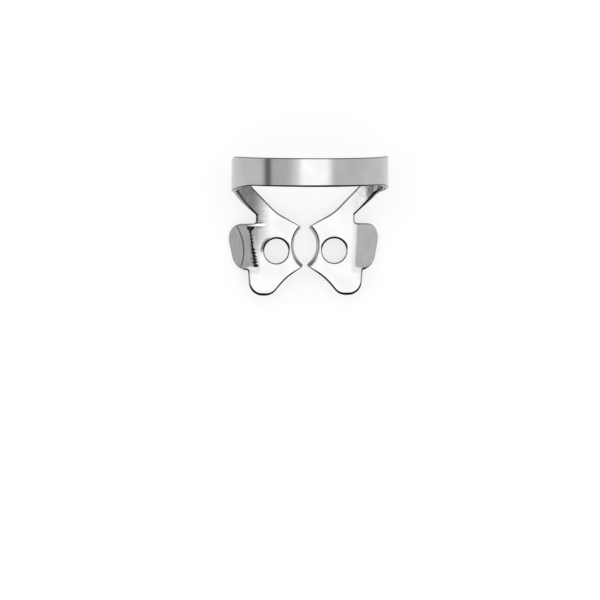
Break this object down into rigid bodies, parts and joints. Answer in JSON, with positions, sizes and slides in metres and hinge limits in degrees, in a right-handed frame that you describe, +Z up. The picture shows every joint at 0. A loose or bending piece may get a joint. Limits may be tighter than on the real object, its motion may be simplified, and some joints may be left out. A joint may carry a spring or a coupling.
{
  "type": "rubber dam clamp",
  "caption": "One-piece sprung steel clamp: an arched bow carries two flat jaws, each with a curved gripping edge, forceps hole, front lobe and a side wing bent down.",
  "frame": {"origin": "middle of the grip between the two gripping arcs, level with the underside of the left jaw", "axes": "+Z up from the jaws to the crown of the bow, +Y to the back where the bow stands, +X to the right jaw"},
  "size_m": [0.0222, 0.0201, 0.0219],
  "materials": {
    "steel": "polished plated spring steel, bright on the jaws, finely brushed on the bow, dark rough shear band along the die-cut edge"
  },
  "bodies": {
    "root": {"clamp": "steel"}
  },
  "joints": []
}
